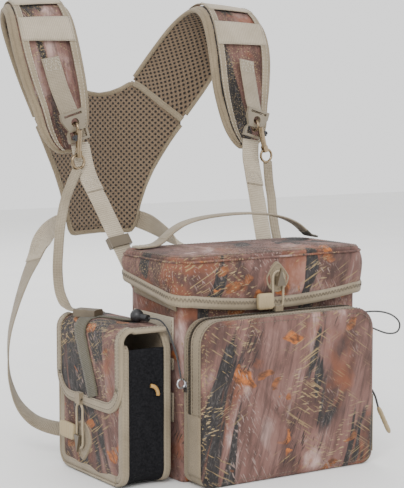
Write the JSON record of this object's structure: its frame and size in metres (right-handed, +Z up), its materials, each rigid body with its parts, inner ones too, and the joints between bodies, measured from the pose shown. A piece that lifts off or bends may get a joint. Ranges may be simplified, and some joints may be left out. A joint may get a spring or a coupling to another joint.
{
  "type": "binocular harness pack",
  "caption": "Boxy camouflage chest pack with hinged lid, zipped front pocket, side pouch with flap, and a padded two-strap shoulder harness with mesh yoke.",
  "frame": {"origin": "centre of the chest panel's face that rests on the wearer's chest", "axes": "+Z up, +Y from the bag towards the wearer, +X towards the wearer's left"},
  "size_m": [0.3526, 0.38, 0.4648],
  "materials": {
    "camo": "woven camouflage cloth, matte",
    "tan_fabric": "plain woven khaki cloth, matte",
    "lining": "smooth nylon lining",
    "stretch": "black stretch knit",
    "binding": "grosgrain binding",
    "webbing": "ribbed khaki webbing",
    "elastic": "pale ribbed elastic",
    "mesh": "brown spacer mesh",
    "olive_strap": "dark olive webbing",
    "plastic_tan": "moulded acetal, satin",
    "plastic_black": "moulded, satin",
    "metal": "plated steel",
    "cord_tan": "braided elastic cord",
    "cord_black": "braided cord",
    "rubber": "soft moulded rubber",
    "zip": "nylon coil"
  },
  "bodies": {
    "pack": {"bag_shell": "camo", "bag_lining": "lining", "chest_panel": "mesh", "side_bands": "webbing", "lid_gussets": "tan_fabric", "pocket_gusset_rear": "tan_fabric", "pocket_lower": "camo", "zip_coil_rear": "zip", "lid_loop_anchor": "binding", "pouch_back_panel": "tan_fabric", "pouch_front_panel": "camo", "pouch_gusset": "stretch", "pouch_patch": "tan_fabric", "pouch_hook": "plastic_tan", "pouch_mount_straps": "webbing", "pouch_toggle": "rubber", "tether_cord": "cord_black", "lens_cord": "cord_black", "cord_anchors": "metal", "pad_bands": "elastic", "pad_webbing": "webbing", "snap_rings": "metal", "tether_strap_left": "webbing", "tether_strap_right": "webbing", "side_strap_left": "webbing", "side_strap_right": "webbing", "yoke_pad": "mesh", "shoulder_pad_left": "camo", "shoulder_pad_right": "camo", "buckle_left": "plastic_tan", "buckle_right": "plastic_tan", "snap_hook_left": "metal", "snap_hook_right": "metal", "elastic_webbing_left": "elastic", "elastic_webbing_right": "elastic"},
    "lid": {"lid_shell": "camo", "lid_binding": "binding", "lid_patch": "camo", "lid_hook": "plastic_tan", "handle_ends": "webbing"},
    "handle": {"carry_handle": "webbing"},
    "lid_latch": {"lid_loop": "cord_tan", "lid_pull_tab": "rubber"},
    "pocket_panel": {"pocket_gusset_front": "tan_fabric", "pocket_front_panel": "camo", "zip_coil_front": "zip"},
    "slider": {"zip_slider": "metal"},
    "zip_tail": {"zip_pull": "rubber"},
    "flap": {"pouch_flap": "camo", "pouch_loop_tab": "binding", "pouch_top_strap": "olive_strap", "tether_buckle": "plastic_tan", "cord_lock": "plastic_black"},
    "pouch_latch": {"pouch_loop": "cord_tan", "pouch_pull_tab": "rubber"},
    "gate_left": {"snap_gate_left": "plastic_black"},
    "gate_right": {"snap_gate_right": "plastic_black"},
    "adjuster_left": {"strap_slider_left": "plastic_tan"},
    "adjuster_right": {"strap_slider_right": "plastic_tan"}
  },
  "joints": [
    {"name": "lid_hinge", "type": "hinge", "parent": "pack", "child": "lid", "pos_m": [0, -0.002, 0.104], "axis": [-1, 0, 0], "range_deg": [0, 105], "deforming": ["lid_loop", "lid_pull_tab"]},
    {"name": "handle_swing", "type": "hinge", "parent": "lid", "child": "handle", "pos_m": [0, -0.03, 0.1147], "axis": [1, 0, 0], "range_deg": [-70, 70]},
    {"name": "lid_latch_swing", "type": "hinge", "parent": "pack", "child": "lid_latch", "pos_m": [0, -0.1188, 0.0498], "axis": [1, 0, 0], "range_deg": [0, 95]},
    {"name": "pocket_fold", "type": "hinge", "parent": "pack", "child": "pocket_panel", "pos_m": [0, -0.141, -0.045], "axis": [1, 0, 0], "range_deg": [0, 60]},
    {"name": "zip_travel", "type": "slide", "parent": "pack", "child": "slider", "axis": [0, 0, 1], "range_m": [0, 0.05]},
    {"name": "zip_tail_swing", "type": "hinge", "parent": "slider", "child": "zip_tail", "pos_m": [0.1102, -0.1196, -0.0346], "axis": [0, -1, 0], "range_deg": [-10, 70]},
    {"name": "flap_hinge", "type": "hinge", "parent": "pack", "child": "flap", "pos_m": [-0.1155, -0.0405, 0.0374], "axis": [0, 1, 0], "range_deg": [0, 60], "deforming": ["tether_strap_left", "tether_cord", "pouch_loop"]},
    {"name": "pouch_latch_swing", "type": "hinge", "parent": "flap", "child": "pouch_latch", "pos_m": [-0.1676, -0.027, -0.0412], "axis": [0, 1, 0], "range_deg": [0, 90]},
    {"name": "hook_gate_left", "type": "slide", "parent": "pack", "child": "gate_left", "axis": [-0.0523, 0, -0.9986], "range_m": [0, 0.004], "stiffness_N_per_m": 60, "springref_m": -0.004},
    {"name": "adjuster_left", "type": "slide", "parent": "pack", "child": "adjuster_left", "axis": [-0.1735, 0.5149, 0.8395], "range_m": [-0.015, 0.015]},
    {"name": "hook_gate_right", "type": "slide", "parent": "pack", "child": "gate_right", "axis": [0.2419, 0, -0.9703], "range_m": [0, 0.004], "stiffness_N_per_m": 60, "springref_m": -0.004},
    {"name": "adjuster_right", "type": "slide", "parent": "pack", "child": "adjuster_right", "axis": [0.1735, 0.5149, 0.8395], "range_m": [-0.012, 0.015]}
  ]
}
